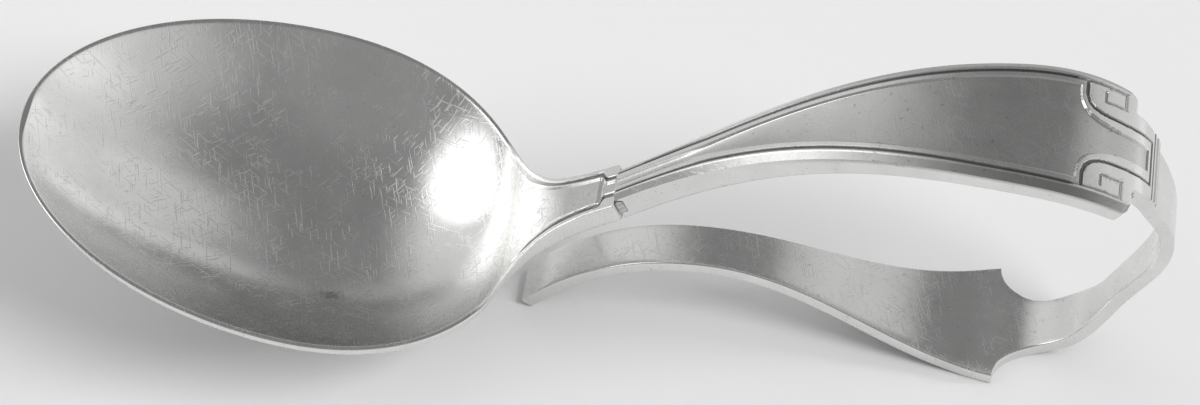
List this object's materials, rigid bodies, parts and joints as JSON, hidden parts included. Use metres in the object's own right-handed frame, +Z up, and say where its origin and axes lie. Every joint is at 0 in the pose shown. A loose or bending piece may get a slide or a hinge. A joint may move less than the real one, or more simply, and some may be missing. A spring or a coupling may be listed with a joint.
{
  "type": "baby spoon",
  "caption": "Baby spoon with an oval bowl, a stepped shoulder, a flat struck handle and a strap bent back under it into a finger loop.",
  "frame": {"origin": "under the middle of the spoon's box, on the table that the loop rests on", "axes": "+X along the spoon from the bowl to the loop, +Y across it, +Z up from the table"},
  "size_m": [0.0926, 0.0314, 0.0283],
  "materials": {
    "silver": "hand-polished silver, worn satin in the bowl",
    "silver_solder": "tarnished in the corners"
  },
  "bodies": {
    "root": {"bowl": "silver", "handle": "silver", "loop_strap": "silver", "shoulder_solder": "silver_solder", "tip_solder": "silver_solder"}
  },
  "joints": []
}
